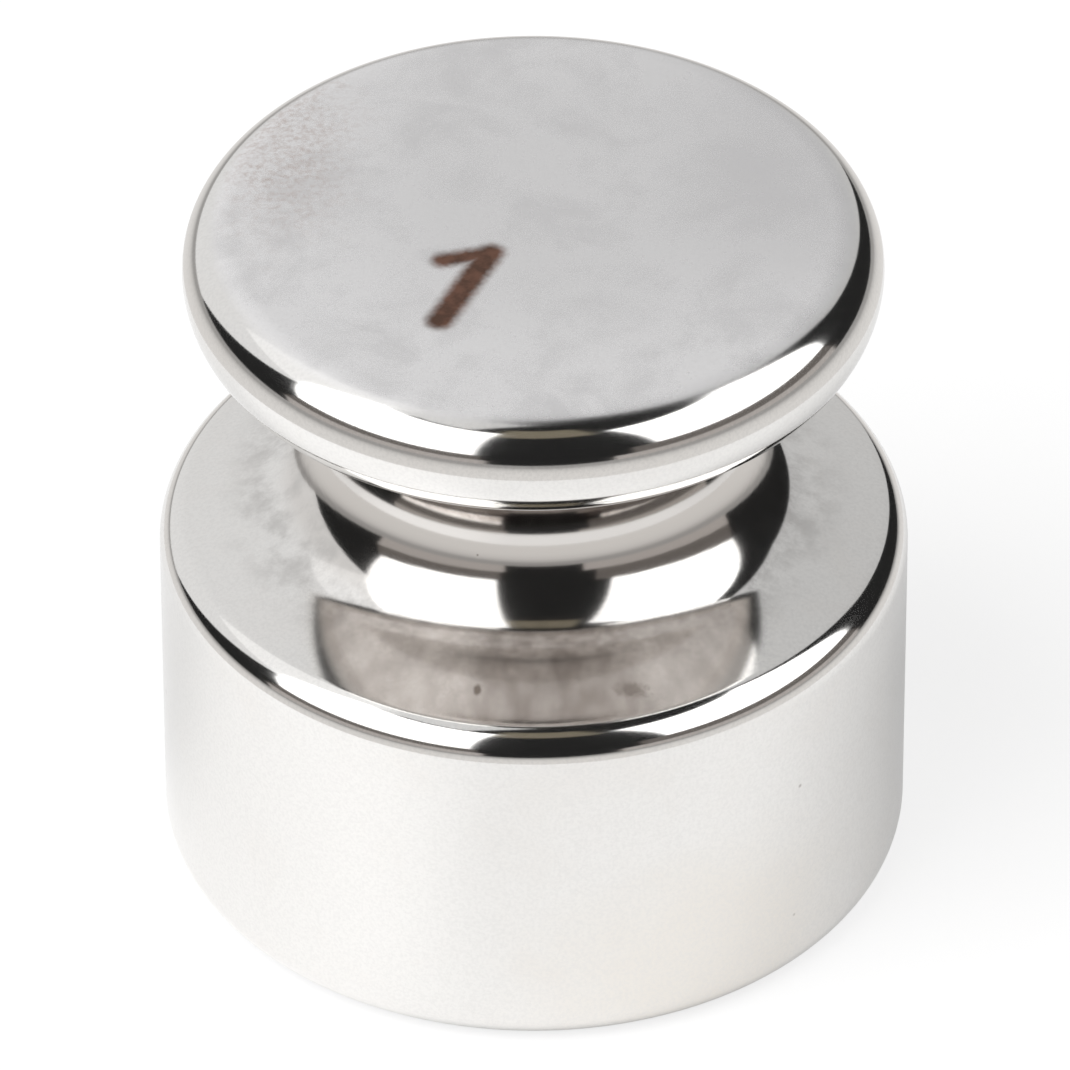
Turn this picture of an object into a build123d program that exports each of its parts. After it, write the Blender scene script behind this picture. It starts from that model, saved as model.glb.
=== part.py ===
from build123d import *
import math
import os

# Knob-top calibration weight, nominal mass one gram.
#
# A one-piece lathe turning in polished stainless steel: a short cylinder whose
# shoulder rises gently to a waisted neck, and a round, flat-topped lifting knob
# that tweezers or a fork grip from below.  Millimetres and degrees.  +Z is up,
# the Z axis is the turning axis, and the origin is the centre of the base.

# ---- driving dimensions ----
body_diameter = 6.0           # barrel of the weight
body_height = 3.075           # base to the corner of barrel and shoulder, before its rounding
overall_height = 5.96         # base to the knob's flat top
base_edge_radius = 0.3        # rounding of the barrel's lower edge
shoulder_edge_radius = 0.3    # rounding of the barrel's upper edge
shoulder_slope = 17.5         # rise of the shoulder towards the neck
neck_diameter = 3.27          # waist between shoulder and knob
waist_height = 4.11           # base to the narrowest place of the neck
knob_diameter = 5.55          # widest part of the lifting knob
knob_top_radius = 0.41        # rounding from the widest part up to the flat top
knob_under_radius = 0.6       # rounding from the widest part down to the underside
underside_slope = 15.0        # fall of the knob's underside towards the neck

steel_density = 7.95          # g/cm3, used only to print the mass

# ---- barrel and shoulder ----
body_r = body_diameter / 2
neck_r = neck_diameter / 2
shoulder_sin = math.sin(math.radians(shoulder_slope))
shoulder_cos = math.cos(math.radians(shoulder_slope))
# The upper rounding touches both the barrel and the sloping shoulder.
edge_x = body_r - shoulder_edge_radius
edge_z = body_height - shoulder_edge_radius * (1 - shoulder_sin) / shoulder_cos

# ---- knob ----
# The two roundings of the rim meet upright at the widest part.
widest_z = overall_height - knob_top_radius
rim_top_x = knob_diameter / 2 - knob_top_radius
rim_under_x = knob_diameter / 2 - knob_under_radius
underside_sin = math.sin(math.radians(underside_slope))
underside_cos = math.cos(math.radians(underside_slope))
underside_x = rim_under_x + knob_under_radius * underside_sin    # rim runs into the underside
underside_z = widest_z - knob_under_radius * underside_cos

# ---- hollow of the neck: two arcs that meet upright at the waist ----
# Each arc's centre is level with the waist, one radius outside it, and each arc also
# touches its own slope.  The distance from centre to slope gives its radius.
shoulder_drop = (waist_height - body_height) * shoulder_cos - (body_r - neck_r) * shoulder_sin
underside_drop = (underside_z - waist_height) * underside_cos - (underside_x - neck_r) * underside_sin
lower_hollow_r = shoulder_drop / (1 - shoulder_sin)
upper_hollow_r = underside_drop / (1 - underside_sin)


def weight_profile():
    """Half section in the XZ plane, from the base outwards and up to the top."""
    with BuildSketch(Plane.XZ) as section:
        with BuildLine():
            base_edge = CenterArc(
                (body_r - base_edge_radius, base_edge_radius), base_edge_radius, -90, 90
            )
            shoulder_edge = CenterArc((edge_x, edge_z), shoulder_edge_radius, 0, 90 - shoulder_slope)
            lower_hollow = CenterArc(
                (neck_r + lower_hollow_r, waist_height),
                lower_hollow_r,
                270 - shoulder_slope,
                shoulder_slope - 90,
            )
            upper_hollow = CenterArc(
                (neck_r + upper_hollow_r, waist_height), upper_hollow_r, 180, underside_slope - 90
            )
            rim_under = CenterArc(
                (rim_under_x, widest_z), knob_under_radius, underside_slope - 90, 90 - underside_slope
            )
            rim_top = CenterArc((rim_top_x, widest_z), knob_top_radius, 0, 90)
            Line((0, 0), base_edge @ 0)
            Line(base_edge @ 1, shoulder_edge @ 0)
            Line(shoulder_edge @ 1, lower_hollow @ 0)
            Line(upper_hollow @ 1, rim_under @ 0)
            Line(rim_top @ 1, (0, overall_height))
            Line((0, overall_height), (0, 0))
        make_face()
    return section.sketch


def make_weight():
    """The whole weight, turned in one piece."""
    turned = revolve(weight_profile(), axis=Axis.Z)
    turned.label = "weight"
    return turned


def main():
    os.makedirs("parts", exist_ok=True)
    weight = make_weight()
    export_step(weight, "parts/weight.step")
    mass_g = weight.volume / 1000 * steel_density
    print(f"hollow radii {lower_hollow_r:.3f} and {upper_hollow_r:.3f} mm")
    print(f"volume {weight.volume:.2f} mm3, mass {mass_g:.3f} g, height {overall_height:.3f} mm")


main()
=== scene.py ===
# %% [markdown]
# # A one-gram calibration weight
#
# The object is a small mass standard: a steel barrel 6 mm across, a shoulder
# that rises gently to a waisted neck, and a round flat knob to lift it by.
# It is turned from one bar on a lathe, polished, and marked with its nominal
# mass in grams.  This lesson turns it again in Blender, gives each surface
# the finish that the tool and the polishing wheel leave, and lights it.
#
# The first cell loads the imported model.  Its one node, `weight`, is the shape
# and size that everything here has to keep.

# %% Load the frame
from math import cos, pi, radians, sin

import bpy
from mathutils import Matrix, Vector


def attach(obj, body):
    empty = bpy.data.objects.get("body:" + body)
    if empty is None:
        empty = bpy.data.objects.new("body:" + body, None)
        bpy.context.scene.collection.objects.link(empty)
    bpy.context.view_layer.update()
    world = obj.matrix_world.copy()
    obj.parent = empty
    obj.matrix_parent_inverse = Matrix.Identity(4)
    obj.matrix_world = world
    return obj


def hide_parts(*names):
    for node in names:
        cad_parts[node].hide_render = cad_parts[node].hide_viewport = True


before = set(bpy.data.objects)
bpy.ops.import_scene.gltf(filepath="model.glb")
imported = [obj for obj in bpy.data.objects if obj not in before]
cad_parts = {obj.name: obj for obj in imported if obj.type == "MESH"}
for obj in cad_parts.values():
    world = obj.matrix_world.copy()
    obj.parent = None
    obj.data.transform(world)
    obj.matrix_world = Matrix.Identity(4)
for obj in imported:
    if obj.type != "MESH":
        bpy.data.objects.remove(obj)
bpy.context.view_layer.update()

mm = 0.001

# %% [markdown]
# ## The camera
#
# The weight is seen from in front and above through a long lens, as small
# parts usually are.  The camera stands on a sphere round the middle of the
# weight.  Its focal length could be tried out by eye, but here it is worked
# out from how many pixels one millimetre covers at that distance, in a
# picture 1070 pixels wide.

# %% Camera
look_at = Vector((0.0097, 0.0, 2.8274)) * mm
camera_distance = 105.0 * mm
camera_elevation = radians(38.33)
camera_roll = radians(0.126)
pixels_per_mm = 124.617
picture_width = 1070

camera_data = bpy.data.cameras.new("camera")
camera = bpy.data.objects.new("camera", camera_data)
bpy.context.scene.collection.objects.link(camera)
camera.matrix_world = (
    Matrix.Translation(look_at)
    @ Matrix.Rotation(pi / 2 - camera_elevation, 4, "X")
    @ Matrix.Translation((0, 0, camera_distance))
    @ Matrix.Rotation(-camera_roll, 4, "Z")
)
focal_pixels = pixels_per_mm * camera_distance / mm
camera_data.lens = camera_data.sensor_width * focal_pixels / picture_width
camera_data.clip_start = 5 * mm
camera_data.clip_end = 5.0
bpy.context.scene.camera = camera
print("lens, mm:", round(camera_data.lens, 1))

# %% [markdown]
# ## The sizes of the turning
#
# The real weight is a lathe turning, so its shape is one half profile spun
# round an axis.  The sizes are those of the solid model, in the same
# relations to each other.  The rounding of the shoulder touches both the
# barrel and the slope.  The neck is two arcs that meet upright at the waist
# and run out along the two slopes.  The knob's rim is two roundings, a small
# one above and a larger one below, which meet upright at its widest part.

# %% Sizes of the turning
body_r = 3.0 * mm
body_height = 3.075 * mm
top_z = 5.96 * mm
base_edge_r = 0.3 * mm
shoulder_edge_r = 0.3 * mm
shoulder_slope = radians(17.5)
neck_r = 1.635 * mm
waist_z = 4.11 * mm
knob_r = 2.775 * mm
knob_top_r = 0.41 * mm
knob_under_r = 0.6 * mm
underside_slope = radians(15.0)

edge_x = body_r - shoulder_edge_r
edge_z = body_height - shoulder_edge_r * (1 - sin(shoulder_slope)) / cos(shoulder_slope)
widest_z = top_z - knob_top_r
rim_top_x = knob_r - knob_top_r
rim_under_x = knob_r - knob_under_r
underside_x = rim_under_x + knob_under_r * sin(underside_slope)
underside_z = widest_z - knob_under_r * cos(underside_slope)


def hollow_radius(rise, run, slope):
    """The radius of the arc that is upright at the waist and touches a slope this far up and out."""
    return (rise * cos(slope) - run * sin(slope)) / (1 - sin(slope))


lower_r = hollow_radius(waist_z - body_height, body_r - neck_r, shoulder_slope)
upper_r = hollow_radius(underside_z - waist_z, underside_x - neck_r, underside_slope)
lower_x = neck_r + lower_r
upper_x = neck_r + upper_r
print("hollow radii, mm:", round(lower_r / mm, 3), round(upper_r / mm, 3))

# %% [markdown]
# ## Drawing the profile
#
# A profile could be typed in as a list of points, but then nobody can see
# what each point is for.  Here one point is drawn along as the lathe tool
# went: extruded where the cut is straight, and spun about a centre where it
# is round.  A straight run gets one more point close to each of its ends,
# which keeps the shading of a flat surface flat up to the rounding.

# %% Draw the profile
def deselect_all():
    for thing in bpy.context.selected_objects:
        thing.select_set(False)


def free_end():
    """Where the line's free end is; it is the point that is selected."""
    bpy.ops.object.mode_set(mode="OBJECT")
    end = next(v.co.copy() for v in bpy.context.object.data.vertices if v.select)
    bpy.ops.object.mode_set(mode="EDIT")
    return end


def run_to(x, z, near=0.02 * mm):
    """Extrudes the free end straight to (x, z), with a point near each end of the run."""
    start = free_end()
    finish = Vector((x, 0, z))
    step = (finish - start).normalized() * near
    for place in (start + step, finish - step, finish):
        move = place - start
        bpy.ops.mesh.extrude_region_move(TRANSFORM_OT_translate={"value": move})
        start = place


def run_round(centre_x, centre_z, turn, steps):
    """Spins the free end about a centre; a positive turn runs from +X towards +Z."""
    bpy.ops.mesh.spin(
        steps=steps, angle=turn, center=(centre_x, 0, centre_z), axis=(0, 1, 0), use_auto_merge=False
    )


quarter_turn = pi / 2
edge_steps, hollow_steps, rim_steps = 16, 32, 24
deselect_all()
bpy.ops.mesh.primitive_plane_add(size=0.1 * mm, location=(0, 0, 0))
weight = bpy.context.object
weight.name = "turned_weight"
bpy.ops.object.mode_set(mode="EDIT")
bpy.ops.mesh.merge(type="CENTER")

run_to(body_r - base_edge_r, 0)
run_round(body_r - base_edge_r, base_edge_r, quarter_turn, edge_steps)
run_to(body_r, edge_z)
run_round(edge_x, edge_z, quarter_turn - shoulder_slope, edge_steps)
run_to(lower_x - lower_r * sin(shoulder_slope), waist_z - lower_r * cos(shoulder_slope))
run_round(lower_x, waist_z, shoulder_slope - quarter_turn, hollow_steps)
run_round(upper_x, waist_z, underside_slope - quarter_turn, hollow_steps)
run_to(underside_x, underside_z)
run_round(rim_under_x, widest_z, quarter_turn - underside_slope, rim_steps)
run_round(rim_top_x, widest_z, quarter_turn, rim_steps)
run_to(0, top_z)
bpy.ops.object.mode_set(mode="OBJECT")
print("profile points:", len(weight.data.vertices))

# %% [markdown]
# ## Spinning it
#
# The line is spun once about the weight's own axis, just as the bar turned
# against the tool.  Its two ends lie on the axis, so their copies are merged
# into one point each, which closes the solid at the base and at the top.
# Merging comes before the normals are made to point outwards.

# %% Spin the profile about the axis
turns = 288
merge_distance = 0.0001 * mm
bpy.ops.object.mode_set(mode="EDIT")
bpy.ops.mesh.select_all(action="SELECT")
bpy.ops.mesh.spin(steps=turns, angle=2 * pi, center=(0, 0, 0), axis=(0, 0, 1), use_auto_merge=True)
bpy.ops.mesh.select_all(action="SELECT")
bpy.ops.mesh.remove_doubles(threshold=merge_distance)
bpy.ops.mesh.normals_make_consistent(inside=False)
bpy.ops.mesh.select_all(action="DESELECT")
bpy.ops.mesh.select_mode(type="EDGE")
bpy.ops.mesh.select_non_manifold()
bpy.ops.object.mode_set(mode="OBJECT")
open_edges = sum(edge.select for edge in weight.data.edges)
bpy.ops.object.shade_smooth()
print("turned weight:", len(weight.data.polygons), "faces,", open_edges, "open edges")

# %% [markdown]
# ## Helpers for the finishes
#
# Steel shows how it was worked, so its finish is built from small effects
# that each material mixes in its own measure.  Each effect is a shader node
# group with named inputs.  The helpers below only save typing: `join` puts a
# number or another node's output into a socket, and the others add one node
# and give back its output.  All sizes are read in millimetres on the piece.

# %% Node helpers
def join(tree, source, socket):
    if isinstance(source, bpy.types.NodeSocket):
        tree.links.new(source, socket)
    else:
        socket.default_value = source


def add(tree, kind, **settings):
    made = tree.nodes.new(kind)
    for name, value in settings.items():
        setattr(made, name, value)
    return made


def calc(tree, operation, a, b=0.0, clamp=False):
    made = add(tree, "ShaderNodeMath", operation=operation, use_clamp=clamp)
    join(tree, a, made.inputs[0])
    join(tree, b, made.inputs[1])
    return made.outputs[0]


def calc_vector(tree, operation, a, b=(0.0, 0.0, 0.0), scale=1.0, output=0):
    made = add(tree, "ShaderNodeVectorMath", operation=operation)
    join(tree, a, made.inputs[0])
    join(tree, b, made.inputs[1])
    if operation == "SCALE":
        join(tree, scale, made.inputs["Scale"])
    return made.outputs[output]


def ramp(tree, value, low, high, smooth=True):
    """0 below low and 1 above high; low may be the larger of the two."""
    made = add(tree, "ShaderNodeMapRange", interpolation_type="SMOOTHSTEP" if smooth else "LINEAR")
    join(tree, value, made.inputs["Value"])
    join(tree, low, made.inputs["From Min"])
    join(tree, high, made.inputs["From Max"])
    return made.outputs["Result"]


def mix(tree, share, a, b, blend="MIX"):
    made = add(tree, "ShaderNodeMix", data_type="RGBA", blend_type=blend)
    join(tree, share, made.inputs["Factor"])
    join(tree, a, made.inputs["A"])
    join(tree, b, made.inputs["B"])
    return made.outputs["Result"]


def noise(tree, place, size, detail=3.0, rough=0.55, wobble=0.0):
    """Cloudy values round one half, with clouds about `size` mm across."""
    made = add(tree, "ShaderNodeTexNoise")
    join(tree, place, made.inputs["Vector"])
    join(tree, calc(tree, "DIVIDE", 1.0, size), made.inputs["Scale"])
    made.inputs["Detail"].default_value = detail
    made.inputs["Roughness"].default_value = rough
    made.inputs["Distortion"].default_value = wobble
    return made.outputs["Fac"]


def place_in_mm(tree):
    """The point on the piece, in millimetres from its origin."""
    here = add(tree, "ShaderNodeTexCoord").outputs["Object"]
    return calc_vector(tree, "SCALE", here, scale=1000.0)


def new_effect(name, inputs, outputs):
    """A node group; inputs are (name, type, value) and outputs are (name, type)."""
    group = bpy.data.node_groups.new(name, "ShaderNodeTree")
    for title, kind, value in inputs:
        socket = group.interface.new_socket(title, in_out="INPUT", socket_type=kind)
        socket.default_value = value
    for title, kind in outputs:
        group.interface.new_socket(title, in_out="OUTPUT", socket_type=kind)
    return group, add(group, "NodeGroupInput").outputs, add(group, "NodeGroupOutput").inputs


def use(tree, group, **values):
    """Places an effect in a material; `Size_of_grain=0.1` sets the input `Size of grain`."""
    made = add(tree, "ShaderNodeGroup", node_tree=group)
    for name, value in values.items():
        join(tree, value, made.inputs[name.replace("_", " ")])
    return made.outputs


number, point = "NodeSocketFloat", "NodeSocketVector"
print("helpers ready")

# %% [markdown]
# ## Turning marks
#
# A lathe tool leaves a fine spiral, which polishing softens to faint rings.
# The rings could be modelled, but they are less than a micrometre deep.  A
# one-dimensional noise that runs along the profile does it: distance from
# the axis minus height grows steadily from the knob's centre to the base, so
# every ring of the turning gets its own value.

# %% Effect: turning marks
turning_marks, given, out = new_effect(
    "turning marks", [("Spacing", number, 0.03)], [("Height", number)]
)
here = place_in_mm(turning_marks)
sideways = calc_vector(turning_marks, "MULTIPLY", here, (1.0, 1.0, 0.0))
from_axis = calc_vector(turning_marks, "LENGTH", sideways, output="Value")
height_here = calc_vector(turning_marks, "DOT_PRODUCT", here, (0.0, 0.0, 1.0), output="Value")
along = calc(turning_marks, "SUBTRACT", from_axis, height_here)
rings = add(turning_marks, "ShaderNodeTexNoise", noise_dimensions="1D")
join(turning_marks, calc(turning_marks, "DIVIDE", along, given["Spacing"]), rings.inputs["W"])
rings.inputs["Scale"].default_value = 1.0
rings.inputs["Detail"].default_value = 2.0
join(turning_marks, rings.outputs["Fac"], out["Height"])
print("turning marks:", len(turning_marks.nodes), "nodes")

# %% [markdown]
# ## Grain and haze
#
# Up close, polished steel isn't even.  Fine pits and hairlines scatter a
# little light, and a thin film of oxide and handling drifts over it in soft
# clouds.  The two have very different sizes, so the effect gives both, and
# each material says how large they are.

# %% Effect: grain and haze
grain_and_haze, given, out = new_effect(
    "grain and haze",
    [("Grain size", number, 0.02), ("Haze size", number, 0.8)],
    [("Grain", number), ("Haze", number)],
)
here = place_in_mm(grain_and_haze)
join(grain_and_haze, noise(grain_and_haze, here, given["Grain size"], 2.0, 0.7), out["Grain"])
join(grain_and_haze, noise(grain_and_haze, here, given["Haze size"], 4.0, 0.6, 0.4), out["Haze"])
print("grain and haze:", len(grain_and_haze.nodes), "nodes")

# %% [markdown]
# ## Specks
#
# A few dark specks are left where grit was pressed in or a pore opened.  A
# Voronoi texture gives one point to every cell, with a random colour.  A
# cell shows its point as a speck only if its random number is high enough,
# which scatters a few of them without any list of places.

# %% Effect: specks
specks, given, out = new_effect(
    "specks",
    [("Spacing", number, 0.3), ("Radius", number, 0.02), ("Share", number, 0.2)],
    [("Mask", number)],
)
here = place_in_mm(specks)
cells = add(specks, "ShaderNodeTexVoronoi")
join(specks, here, cells.inputs["Vector"])
join(specks, calc(specks, "DIVIDE", 1.0, given["Spacing"]), cells.inputs["Scale"])
lot = calc_vector(specks, "DOT_PRODUCT", cells.outputs["Color"], (1.0, 0.0, 0.0), output="Value")
size_lot = calc_vector(specks, "DOT_PRODUCT", cells.outputs["Color"], (0.0, 1.0, 0.0), output="Value")
reach = calc(specks, "DIVIDE", given["Radius"], given["Spacing"])
reach = calc(specks, "MULTIPLY", reach, calc(specks, "ADD", size_lot, 0.4))
dot = ramp(specks, cells.outputs["Distance"], reach, calc(specks, "MULTIPLY", reach, 0.4))
drawn = calc(specks, "GREATER_THAN", lot, calc(specks, "SUBTRACT", 1.0, given["Share"]))
join(specks, calc(specks, "MULTIPLY", dot, drawn), out["Mask"])
print("specks:", len(specks.nodes), "nodes")

# %% [markdown]
# ## Stains and strokes
#
# Some marks have one place.  A stain is a soft spot with a ragged edge: the
# distance from its centre, measured in its own radii, with noise added.  A
# stroke is the same idea for a pen: the distance from a straight piece of
# line.  Both give a mask that is 1 inside and 0 outside.

# %% Effects: stain and stroke
stain, given, out = new_effect(
    "stain",
    [("Centre", point, (0, 0, 0)), ("Radii", point, (1, 1, 1)), ("Softness", number, 0.5),
     ("Raggedness", number, 0.5), ("Cloud size", number, 0.2)],
    [("Mask", number)],
)
here = place_in_mm(stain)
offset = calc_vector(stain, "SUBTRACT", here, given["Centre"])
away = calc_vector(stain, "LENGTH", calc_vector(stain, "DIVIDE", offset, given["Radii"]), output="Value")
ragged = calc(stain, "SUBTRACT", noise(stain, here, given["Cloud size"], 5.0, 0.65, 0.5), 0.5)
away = calc(stain, "ADD", away, calc(stain, "MULTIPLY", ragged, given["Raggedness"]))
inner = calc(stain, "SUBTRACT", 1.0, given["Softness"])
outer = calc(stain, "ADD", 1.0, given["Softness"])
join(stain, ramp(stain, away, outer, inner), out["Mask"])

stroke, given, out = new_effect(
    "stroke",
    [("Start", point, (0, 0, 0)), ("End", point, (1, 0, 0)), ("Width", number, 0.1),
     ("Softness", number, 0.02), ("Raggedness", number, 0.02)],
    [("Mask", number)],
)
here = place_in_mm(stroke)
line = calc_vector(stroke, "SUBTRACT", given["End"], given["Start"])
offset = calc_vector(stroke, "SUBTRACT", here, given["Start"])
share = calc(
    stroke, "DIVIDE",
    calc_vector(stroke, "DOT_PRODUCT", offset, line, output="Value"),
    calc_vector(stroke, "DOT_PRODUCT", line, line, output="Value"),
    clamp=True,
)
nearest = calc_vector(stroke, "SCALE", line, scale=share)
away = calc_vector(stroke, "LENGTH", calc_vector(stroke, "SUBTRACT", offset, nearest), output="Value")
ragged = calc(stroke, "SUBTRACT", noise(stroke, here, 0.05, 3.0, 0.6), 0.5)
away = calc(stroke, "ADD", away, calc(stroke, "MULTIPLY", ragged, given["Raggedness"]))
half = calc(stroke, "MULTIPLY", given["Width"], 0.5)
inner = calc(stroke, "SUBTRACT", half, given["Softness"])
outer = calc(stroke, "ADD", half, given["Softness"])
join(stroke, ramp(stroke, away, outer, inner), out["Mask"])
print("stain:", len(stain.nodes), "nodes, stroke:", len(stroke.nodes), "nodes")

# %% [markdown]
# ## Polished steel
#
# The barrel, the shoulder and the rim are polished until they mirror the
# room.  Steel is a little warm, and its mirror is never quite perfect: a thin
# film drifts over it in clouds, a fine grain dulls it slightly, and one faint
# beige stain lies low on the barrel.  Each could be a material of its own,
# but they fade into one another, so they are colours in a single material,
# laid one over the other through their masks.

# %% Helpers for bands, spots, relief and numbers
def at_height(tree, height, low, full, full_end, end):
    """1 between two heights in millimetres, with a soft edge at each end."""
    return calc(tree, "MULTIPLY", ramp(tree, height, low, full), ramp(tree, height, end, full_end))


def spot(tree, centre, radii, softness, raggedness, cloud_size):
    """The mask of one stain, with its centre and radii in millimetres."""
    return use(
        tree, stain, Centre=centre, Radii=radii,
        Softness=softness, Raggedness=raggedness, Cloud_size=cloud_size,
    )["Mask"]


def bump(tree, height, depth, after=None):
    """Turns a height from 0 to 1 into a normal, for a relief `depth` metres deep."""
    made = add(tree, "ShaderNodeBump")
    made.inputs["Strength"].default_value = 1.0
    made.inputs["Distance"].default_value = depth
    join(tree, height, made.inputs["Height"])
    if after is not None:
        join(tree, after, made.inputs["Normal"])
    return made.outputs["Normal"]


def blend(tree, share, a, b):
    """A number that goes from a to b."""
    made = add(tree, "ShaderNodeMix", data_type="FLOAT")
    join(tree, share, made.inputs["Factor"])
    join(tree, a, made.inputs["A"])
    join(tree, b, made.inputs["B"])
    return made.outputs["Result"]


print("material helpers ready")

# %% Colour of the polished steel
bright_steel = (0.830, 0.818, 0.800, 1)
warm_film = (0.815, 0.796, 0.772, 1)
beige_film = (0.790, 0.750, 0.695, 1)
dull_steel = (0.740, 0.728, 0.715, 1)

steel = bpy.data.materials.new("polished_steel")
steel.use_nodes = True
tree = steel.node_tree
surface = tree.nodes["Principled BSDF"]
surface.inputs["Metallic"].default_value = 1.0
here = place_in_mm(tree)
height_here = calc_vector(tree, "DOT_PRODUCT", here, (0.0, 0.0, 1.0), output="Value")
sideways = calc_vector(tree, "MULTIPLY", here, (1.0, 1.0, 0.0))
texture = use(tree, grain_and_haze, Grain_size=0.03, Haze_size=0.9)

colour = mix(tree, ramp(tree, texture["Haze"], 0.45, 0.75), bright_steel, warm_film)
beige = spot(tree, (1.4, -2.6, 0.7), (1.3, 0.8, 0.9), softness=0.6, raggedness=0.8, cloud_size=0.6)
colour = mix(tree, calc(tree, "MULTIPLY", beige, 0.7), colour, beige_film)
fine = calc(tree, "MULTIPLY", ramp(tree, texture["Grain"], 0.35, 0.70), 0.5)
colour = mix(tree, fine, colour, dull_steel)
print("polished steel:", len(tree.nodes), "nodes")

# %% [markdown]
# ## The neck
#
# The neck is hard to reach with a polishing wheel, so its turning marks stay
# plain.  Its colour is painted darker than the rest, which is painted shade
# in the hollow under the knob.  A cloudy ring of painted shade runs round its
# foot, where the slope of the shoulder turns up into the hollow.  The upper
# hollow, under the knob, is tarnished brown in clouds, with painted shade
# mixed into its colour, and it is painted darkest in front, towards the
# camera, as painted shade.  All three are bands between two heights, with
# soft edges.

# %% Colour of the neck
foot_painted_shade = (0.520, 0.505, 0.490, 1)
shaded_neck_steel = (0.700, 0.675, 0.650, 1)
light_tarnish_and_shade = (0.655, 0.612, 0.580, 1)
dark_tarnish_and_shade = (0.300, 0.262, 0.240, 1)
# Heights in millimetres at which a band starts, is full, is no longer full, and ends.
neck_band = (3.36, 3.50, 5.02, 5.12)
tarnish_and_shade_band = (4.16, 4.27, 5.02, 5.12)
foot_band = (3.19, 3.34, 3.42, 3.75)
front = (0.12, -0.99, 0.0)

# Painted shade: the whole neck gets a darker steel colour in place of the shade under the knob.
in_neck = at_height(tree, height_here, *neck_band)
colour = mix(tree, in_neck, colour, shaded_neck_steel)

# Painted shade: a cloudy darker ring round the foot of the neck, where the shoulder turns up into the hollow.
foot = calc(tree, "MULTIPLY", at_height(tree, height_here, *foot_band), 0.7)
foot_cloud = ramp(tree, noise(tree, here, 0.3, 4.0, 0.65), 0.35, 0.70)
colour = mix(tree, calc(tree, "MULTIPLY", foot, foot_cloud), colour, foot_painted_shade)

# Brown tarnish in clouds, with painted shade: darker under the knob, and darkest in front, towards the
# camera.
cloud = calc(tree, "MULTIPLY", ramp(tree, noise(tree, here, 0.20, 4.0, 0.65), 0.38, 0.62), 0.35)
facing = calc_vector(tree, "DOT_PRODUCT", calc_vector(tree, "NORMALIZE", sideways), front, output="Value")
front_shade = calc(tree, "MULTIPLY", ramp(tree, facing, 0.84, 0.99), 0.55)
tarnish_and_shade = mix(tree, calc(tree, "ADD", cloud, front_shade), light_tarnish_and_shade, dark_tarnish_and_shade)
colour = mix(tree, at_height(tree, height_here, *tarnish_and_shade_band), colour, tarnish_and_shade)
print("with the neck:", len(tree.nodes), "nodes")

# %% [markdown]
# ## Small marks
#
# Fine specks are scattered everywhere, and two larger marks lie on the front
# of the shoulder: a dark pit on the left and a ragged scar on the right.
# They are too shallow to model, so they are colour only.

# %% Specks, pit and scar
speck_brown = (0.20, 0.16, 0.13, 1)
dots = use(tree, specks, Spacing=0.42, Radius=0.022, Share=0.10)["Mask"]
pit = spot(tree, (-0.447, -2.47, 3.23), (0.030, 0.045, 0.06), softness=0.5, raggedness=0.8, cloud_size=0.03)
scar = spot(tree, (0.77, -2.45, 3.21), (0.11, 0.060, 0.06), softness=0.7, raggedness=2.6, cloud_size=0.04)
for mark, strength in ((dots, 0.6), (pit, 0.75), (scar, 0.45)):
    colour = mix(tree, calc(tree, "MULTIPLY", mark, strength), colour, speck_brown)
print("with the marks:", len(tree.nodes), "nodes")

# %% [markdown]
# ## Roughness and relief
#
# A mirror is told by its roughness more than by its colour.  The film and
# the grain make it a little rougher in places, and the neck is the same all
# over.  The turning marks are a bump a tenth of a micrometre deep.  They are
# plain in the neck and nearly gone where the wheel has been.

# %% Roughness and relief of the polished steel
micrometre = 1e-6
ring_depth = 0.12 * micrometre
neck_roughness = 0.10

roughness = calc(tree, "ADD", calc(tree, "MULTIPLY", texture["Haze"], 0.06), 0.05)
roughness = calc(tree, "ADD", roughness, calc(tree, "MULTIPLY", texture["Grain"], 0.03))
roughness = blend(tree, in_neck, roughness, neck_roughness)
rings = use(tree, turning_marks, Spacing=0.05)["Height"]
rings = calc(tree, "MULTIPLY", rings, blend(tree, in_neck, 0.2, 1.0))
relief = bump(tree, rings, ring_depth)
print("with its relief:", len(tree.nodes), "nodes")

# %% [markdown]
# ## Satin top
#
# The flat top is lapped on fine abrasive, so it is satin: it gathers light
# but mirrors nothing.  The lapping also rubs over the edge, so the satin
# fades out on the upper rounding of the knob.  A peppered brown stain lies on
# the far left of the top, a shade on the right, and a smudge by the numeral.

# %% Satin top
satin_bright = (0.915, 0.905, 0.908, 1)
satin_steel = (0.815, 0.806, 0.808, 1)
satin_dark = (0.700, 0.690, 0.694, 1)
stain_brown = (0.50, 0.38, 0.33, 1)
top_mm = top_z / mm
# The satin starts where the top rounding leans 32 degrees, and is full where it leans 12.
satin_from = (widest_z + knob_top_r * cos(radians(32))) / mm
satin_full = (widest_z + knob_top_r * cos(radians(12))) / mm

satin = ramp(tree, height_here, satin_from, satin_full)
satin_texture = use(tree, grain_and_haze, Grain_size=0.025, Haze_size=0.7)
from_axis = calc_vector(tree, "LENGTH", sideways, output="Value")
leaning = calc_vector(tree, "DOT_PRODUCT", here, (-0.3, -0.35, 0.0), output="Value")
outwards = ramp(tree, calc(tree, "ADD", from_axis, leaning), 0.6, 3.0)
satin_colour = mix(tree, outwards, satin_steel, satin_bright)
hazy = calc(tree, "MULTIPLY", ramp(tree, satin_texture["Haze"], 0.42, 0.72), 0.6)
satin_colour = mix(tree, hazy, satin_colour, satin_dark)
fine = calc(tree, "MULTIPLY", ramp(tree, satin_texture["Grain"], 0.45, 0.85), 0.4)
satin_colour = mix(tree, fine, satin_colour, satin_dark)


def lay(mask, strength, paint):
    """Lays one more colour over the satin."""
    return mix(tree, calc(tree, "MULTIPLY", mask, strength), satin_colour, paint)


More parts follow.
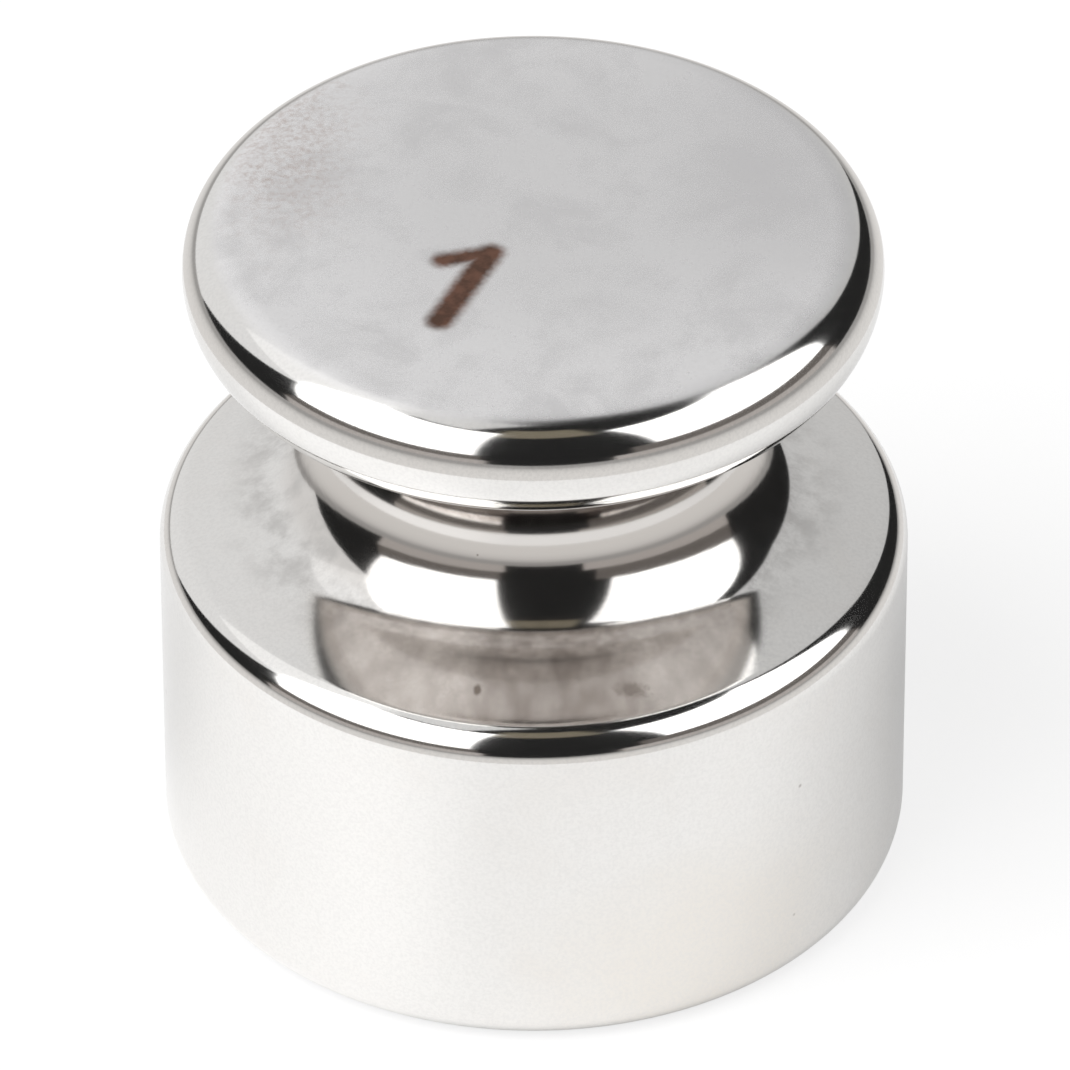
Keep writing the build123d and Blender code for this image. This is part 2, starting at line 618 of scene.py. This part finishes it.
shade = spot(tree, (2.4, 0.9, top_mm), (1.1, 1.6, 1.0), softness=0.6, raggedness=0.6, cloud_size=0.8)
satin_colour = lay(shade, 0.6, satin_dark)
brown = spot(tree, (-2.0, 1.05, top_mm), (0.50, 1.0, 1.0), softness=0.75, raggedness=1.8, cloud_size=0.25)
pepper = ramp(tree, noise(tree, here, 0.060, 3.0, 0.7), 0.35, 0.75)
satin_colour = lay(calc(tree, "MULTIPLY", brown, pepper), 0.50, stain_brown)
smudge = spot(tree, (-0.72, -0.42, top_mm), (0.16, 0.10, 1.0), softness=0.6, raggedness=1.4, cloud_size=0.1)
satin_colour = lay(smudge, 0.45, satin_dark)
satin_colour = lay(use(tree, specks, Spacing=0.5, Radius=0.018, Share=0.10)["Mask"], 0.35, speck_brown)
print("with the satin:", len(tree.nodes), "nodes")

# %% Roughness and relief of the satin
grain_depth = 0.22 * micrometre
satin_roughness = calc(tree, "ADD", calc(tree, "MULTIPLY", satin_texture["Haze"], 0.08), 0.20)
satin_roughness = calc(tree, "ADD", satin_roughness, calc(tree, "MULTIPLY", satin_texture["Grain"], 0.06))
polished_grain = calc(tree, "MULTIPLY", texture["Grain"], 0.25)
grain_height = blend(tree, satin, polished_grain, satin_texture["Grain"])
join(tree, bump(tree, grain_height, grain_depth, after=relief), surface.inputs["Normal"])
print("with all relief:", len(tree.nodes), "nodes")

# %% [markdown]
# ## The numeral
#
# The numeral says how many grams the weight stands for.  A laser marks it by
# heating the steel until a brown oxide grows, which has a colour but hardly
# any depth.  So it isn't cut into the mesh: two strokes of the stroke effect
# lay it over the satin steel, with the oxide darker where the beam dwelt.

# %% The numeral
apex = (-0.335, -0.385, top_mm)
flag_end = (-0.710, -0.485, top_mm)
stem_foot = (-0.730, -1.265, top_mm)
oxide_light = (0.195, 0.100, 0.070, 1)
oxide_dark = (0.120, 0.066, 0.047, 1)
stem_width, flag_width = 0.220, 0.175

stem = use(tree, stroke, Start=apex, End=stem_foot, Width=stem_width, Softness=0.060, Raggedness=0.05)["Mask"]
flag = use(tree, stroke, Start=apex, End=flag_end, Width=flag_width, Softness=0.060, Raggedness=0.05)["Mask"]
numeral = calc(tree, "MAXIMUM", stem, flag)
oxide = mix(tree, ramp(tree, noise(tree, here, 0.14, 3.0, 0.6), 0.35, 0.65), oxide_light, oxide_dark)
satin_colour = lay(numeral, 1.0, oxide)
satin_roughness = calc(tree, "ADD", satin_roughness, calc(tree, "MULTIPLY", numeral, 0.15))

join(tree, mix(tree, satin, colour, satin_colour), surface.inputs["Base Color"])
join(tree, blend(tree, satin, roughness, satin_roughness), surface.inputs["Roughness"])
weight.data.materials.append(steel)

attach(weight, "root")
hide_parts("weight")
print("the whole finish:", len(tree.nodes), "nodes")

# %% [markdown]
# ## The floor
#
# Bright metal is hard to light, because it shows the room and not itself.
# The studio is plain, and its floor is white paper.  It is lit by the lamps,
# so it keeps the weight's shadow, and a little light of its own is mixed in
# for the rays of the camera and of mirrors only, so that it looks white.  In
# mirrors this own light is a painted pool of light, brightest towards the
# left softbox.  No rays are aimed at this light, because it lights nothing
# dull, and that saves time.

# %% Floor
def seen_directly(tree):
    """1 for what the camera, a mirror or glass sees, and 0 for what lights a dull surface."""
    ray = add(tree, "ShaderNodeLightPath").outputs
    either = calc(tree, "MAXIMUM", ray["Is Camera Ray"], ray["Is Glossy Ray"])
    return calc(tree, "MAXIMUM", either, ray["Is Transmission Ray"])


floor_size = 1.6
paper_white = (0.9, 0.9, 0.9, 1)
mirror_share, camera_share = 0.35, 0.40
to_left_box = (-0.84, -0.54, 0.0)

deselect_all()
bpy.ops.mesh.primitive_plane_add(size=floor_size, location=(0, 0, 0))
floor = bpy.context.object
floor.name = "floor"
paper = bpy.data.materials.new("white_paper")
paper.use_nodes = True
tree = paper.node_tree
surface = tree.nodes["Principled BSDF"]
surface.inputs["Base Color"].default_value = paper_white
surface.inputs["Roughness"].default_value = 0.9
surface.inputs["Specular IOR Level"].default_value = 0.0

camera_ray = add(tree, "ShaderNodeLightPath").outputs["Is Camera Ray"]
from_weight = calc_vector(tree, "NORMALIZE", add(tree, "ShaderNodeTexCoord").outputs["Object"])
leftwards = calc_vector(tree, "DOT_PRODUCT", from_weight, to_left_box, output="Value")
# Painted light: for mirrors the floor's own light is brightest towards the left softbox.
painted_pool_strength = blend(tree, ramp(tree, leftwards, 0.65, 0.97), 0.60, 1.0)
white = add(tree, "ShaderNodeEmission")
join(tree, calc(tree, "MAXIMUM", camera_ray, painted_pool_strength), white.inputs["Strength"])

brightened = add(tree, "ShaderNodeMixShader")
own_light = calc(tree, "MULTIPLY", seen_directly(tree), mirror_share)
own_light = calc(tree, "ADD", own_light, calc(tree, "MULTIPLY", camera_ray, camera_share))
join(tree, own_light, brightened.inputs[0])
tree.links.new(surface.outputs[0], brightened.inputs[1])
tree.links.new(white.outputs[0], brightened.inputs[2])
tree.links.new(brightened.outputs[0], tree.nodes["Material Output"].inputs["Surface"])
paper.cycles.emission_sampling = "NONE"
floor.data.materials.append(paper)
print("floor, m:", floor_size, "nodes:", len(tree.nodes))

# %% [markdown]
# ## The lamps
#
# A strong softbox stands on the left and a weaker one on the right, both a
# little in front.  A lamp could be set by its watts, but the light on the
# floor is what matters, so the watts are worked out from that.  It is a level
# at which a colour looks as it is written.  Mirrors don't see the lamps,
# because a card stands for each of them in the next step.

# %% Lamps
def toward(azimuth, elevation):
    """The direction seen from the weight. Azimuth 0 is +X, 90 is -Y, towards the camera."""
    a, e = radians(azimuth), radians(elevation)
    return Vector((cos(a) * cos(e), -sin(a) * cos(e), sin(e)))


def softbox(name, azimuth, elevation, irradiance, size=0.4, distance=0.4):
    """A square area lamp that gives the floor about this much light."""
    data = bpy.data.lights.new(name, "AREA")
    data.shape = "RECTANGLE"
    data.size = data.size_y = size
    data.energy = pi * irradiance * distance ** 2 / sin(radians(elevation))
    light = bpy.data.objects.new(name, data)
    bpy.context.scene.collection.objects.link(light)
    away = toward(azimuth, elevation)
    facing_weight = (-away).to_track_quat("-Z", "Y").to_matrix().to_4x4()
    light.matrix_world = Matrix.Translation(away * distance) @ facing_weight
    light.visible_glossy = False
    return data.energy


left_watts = softbox("left softbox", 150, 48, irradiance=4.0)
right_watts = softbox("right softbox", 22, 46, irradiance=1.5)
print("lamps, W:", round(left_watts, 2), round(right_watts, 2))

# %% [markdown]
# ## What the steel mirrors
#
# Polished metal shows the room, so the room is made of cards.  The faces of
# the two softboxes are the brightest, with a glow beside the left one.  A
# pale wall stands behind and reaches overhead, the light of a door shows
# dimly between the tops of the boxes, and the table's edges are grey.  What
# no card covers is the dark of the room, which draws the crisp dark shapes in
# the steel.  Only mirrors see the cards.  Each one is a patch of a sphere,
# given by its elevations and azimuths as seen from the weight.

# %% Helpers for the cards
def glow(name, colour, strength, fade=None, outwards=False):
    """Plain light; fade changes it along X or outwards, as (from, to, strength, strength)."""
    made = bpy.data.materials.new(name)
    made.use_nodes = True
    tree = made.node_tree
    tree.nodes.remove(tree.nodes["Principled BSDF"])
    light = add(tree, "ShaderNodeEmission")
    light.inputs["Color"].default_value = (*colour, 1)
    light.inputs["Strength"].default_value = strength
    if fade:
        place = add(tree, "ShaderNodeTexCoord").outputs["Object"]
        operation = "LENGTH" if outwards else "DOT_PRODUCT"
        across = calc_vector(tree, operation, place, (1.0, 0.0, 0.0), output="Value")
        change = add(tree, "ShaderNodeMapRange", interpolation_type="SMOOTHSTEP")
        for socket, value in zip(("From Min", "From Max", "To Min", "To Max"), fade):
            change.inputs[socket].default_value = value
        join(tree, across, change.inputs["Value"])
        join(tree, change.outputs["Result"], light.inputs["Strength"])
    tree.links.new(light.outputs[0], tree.nodes["Material Output"].inputs["Surface"])
    made.cycles.emission_sampling = "NONE"
    return made


def only_mirrored(thing, finish):
    """Gives a stage piece its light and hides it from all but reflections."""
    thing.data.materials.append(finish)
    thing.visible_camera = thing.visible_diffuse = thing.visible_shadow = False


def card(name, low, high, finish, distance=0.5, steps=24):
    """A patch of a sphere; low and high are (elevation, azimuth, azimuth) of its lower and upper edge."""
    points, faces = [], []
    for row in range(steps + 1):
        elevation, start, end = [a + (b - a) * row / steps for a, b in zip(low, high)]
        points += [toward(start + (end - start) * i / steps, elevation) * distance for i in range(steps + 1)]
    for row in range(steps):
        for i in range(steps):
            first = row * (steps + 1) + i
            faces.append((first, first + 1, first + steps + 2, first + steps + 1))
    mesh = bpy.data.meshes.new(name)
    mesh.from_pydata(points, [], faces)
    made = bpy.data.objects.new(name, mesh)
    bpy.context.scene.collection.objects.link(made)
    only_mirrored(made, finish)
    print("card:", name, "at", distance, "m,", len(faces), "faces")


print("card helpers ready")

# %% Cards
softbox_face = glow("softbox_face", (1, 1, 1), 2.0)
haze = glow("haze", (1, 1, 1), 1.05)
dim_edge = glow("dim_edge", (0.16, 0.145, 0.135), 1.0)
table_edge = glow("table_edge", (0.48, 0.45, 0.43), 1.0)
door = glow("door", (0.22, 0.195, 0.145), 1.0)
wall = glow("wall", (1, 1, 1), 1.0, fade=(-0.45, 0.42, 0.86, 0.58))
haze_distance, wall_distance = 0.55, 0.6

card("left box", (17, 108, 167), (68, 108, 194), softbox_face)
card("right box", (20, -14, 52), (64, -32, 54), softbox_face)
card("right edge", (8, -14, 60), (20, -14, 60), dim_edge)
card("left edge", (8, 106, 170), (17, 106, 168), dim_edge)
card("right table edge", (0, -14, 66), (8, -14, 66), table_edge)
card("left table edge", (0, 104, 168), (8, 104, 170), table_edge)
card("wall low", (0, -145, -68), (37, -182, -40), wall, wall_distance)
card("wall high", (37, -182, -40), (70, -192, -37), wall, wall_distance)
card("wall top", (70, -190, -40), (89.9, -190, -150), wall, wall_distance)
card("over the left box", (70, 125, 172), (89.9, 125, 172), wall, wall_distance)
card("glow beside the left box", (38, 178, 212), (72, 190, 232), haze, haze_distance)
card("door", (60, 62, 108), (76, 62, 108), door)

# %% [markdown]
# ## The far floor and the dark
#
# Mirrors see the floor darker the further it is from the weight, because the
# lamps are close.  A ring just above the paper shows them that, and leaves
# the paper round the weight free.  A large dark sphere closes the room for
# mirrors.  The world outside it is white for the camera, and gives dull
# surfaces hardly any light.

# %% Far floor, dark room and world
ring_inside, ring_growth = 0.01, 70
above_paper = 0.0001
dark_room_radius = 0.75
world_share = 0.03
far_floor = glow("far_floor", (1, 0.98, 0.96), 1.0, fade=(0.010, 0.060, 0.80, 0.38), outwards=True)

deselect_all()
bpy.ops.mesh.primitive_circle_add(vertices=96, radius=ring_inside, location=(0, 0, above_paper))
far = bpy.context.object
far.name = "far floor"
bpy.ops.object.mode_set(mode="EDIT")
bpy.ops.mesh.extrude_region_move()
bpy.ops.transform.resize(value=(ring_growth, ring_growth, 1))
bpy.ops.object.mode_set(mode="OBJECT")
only_mirrored(far, far_floor)

deselect_all()
bpy.ops.mesh.primitive_uv_sphere_add(radius=dark_room_radius, segments=48, ring_count=24)
dark_room = bpy.context.object
dark_room.name = "dark room"
only_mirrored(dark_room, glow("dark_room", (0.02, 0.02, 0.02), 1.0))
deselect_all()

world = bpy.data.worlds.new("room")
bpy.context.scene.world = world
world.use_nodes = True
tree = world.node_tree
backdrop = tree.nodes["Background"]
backdrop.inputs["Color"].default_value = (1, 1, 1, 1)
join(tree, ramp(tree, seen_directly(tree), -world_share, 1.0, smooth=False), backdrop.inputs["Strength"])
bpy.context.scene.view_settings.view_transform = "Standard"
print("far floor, m across:", round(2 * ring_inside * ring_growth, 2), "dark room:", 2 * dark_room_radius)
